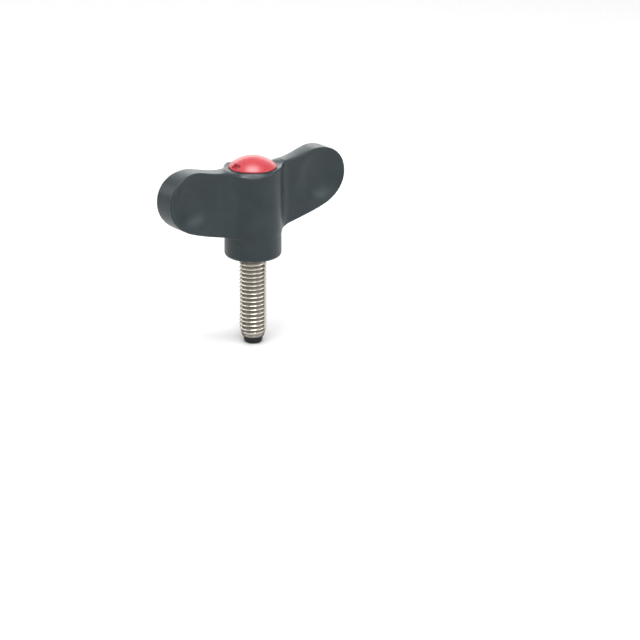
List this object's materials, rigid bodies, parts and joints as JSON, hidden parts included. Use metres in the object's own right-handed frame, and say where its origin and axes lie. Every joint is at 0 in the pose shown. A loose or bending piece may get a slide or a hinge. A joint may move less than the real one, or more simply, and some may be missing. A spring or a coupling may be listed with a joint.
{
  "type": "wing screw",
  "caption": "Moulded winged grip with thumb recesses and a snap-in domed cap, on a threaded metal stud with a soft tip pad.",
  "frame": {"origin": "centre of the hub's seat face, on the stud's axis", "axes": "+Z along the stud's axis towards the cap, +X along one wing; the cap's pry notch is on the -X side"},
  "size_m": [0.063, 0.0168, 0.057],
  "materials": {
    "grip_polymer": "matte, fine spark-eroded grain",
    "cap_polymer": "satin",
    "stud_steel": "rolled thread, bright",
    "tip_polymer": "matte, turned face"
  },
  "bodies": {
    "grip": {"wing_body": "grip_polymer", "threaded_stud": "stud_steel", "tip_pad": "tip_polymer"},
    "cap": {"cap": "cap_polymer"}
  },
  "joints": [
    {"name": "cap_lift", "type": "slide", "parent": "grip", "child": "cap", "axis": [0, 0, 1], "range_m": [0, 0.012]}
  ]
}
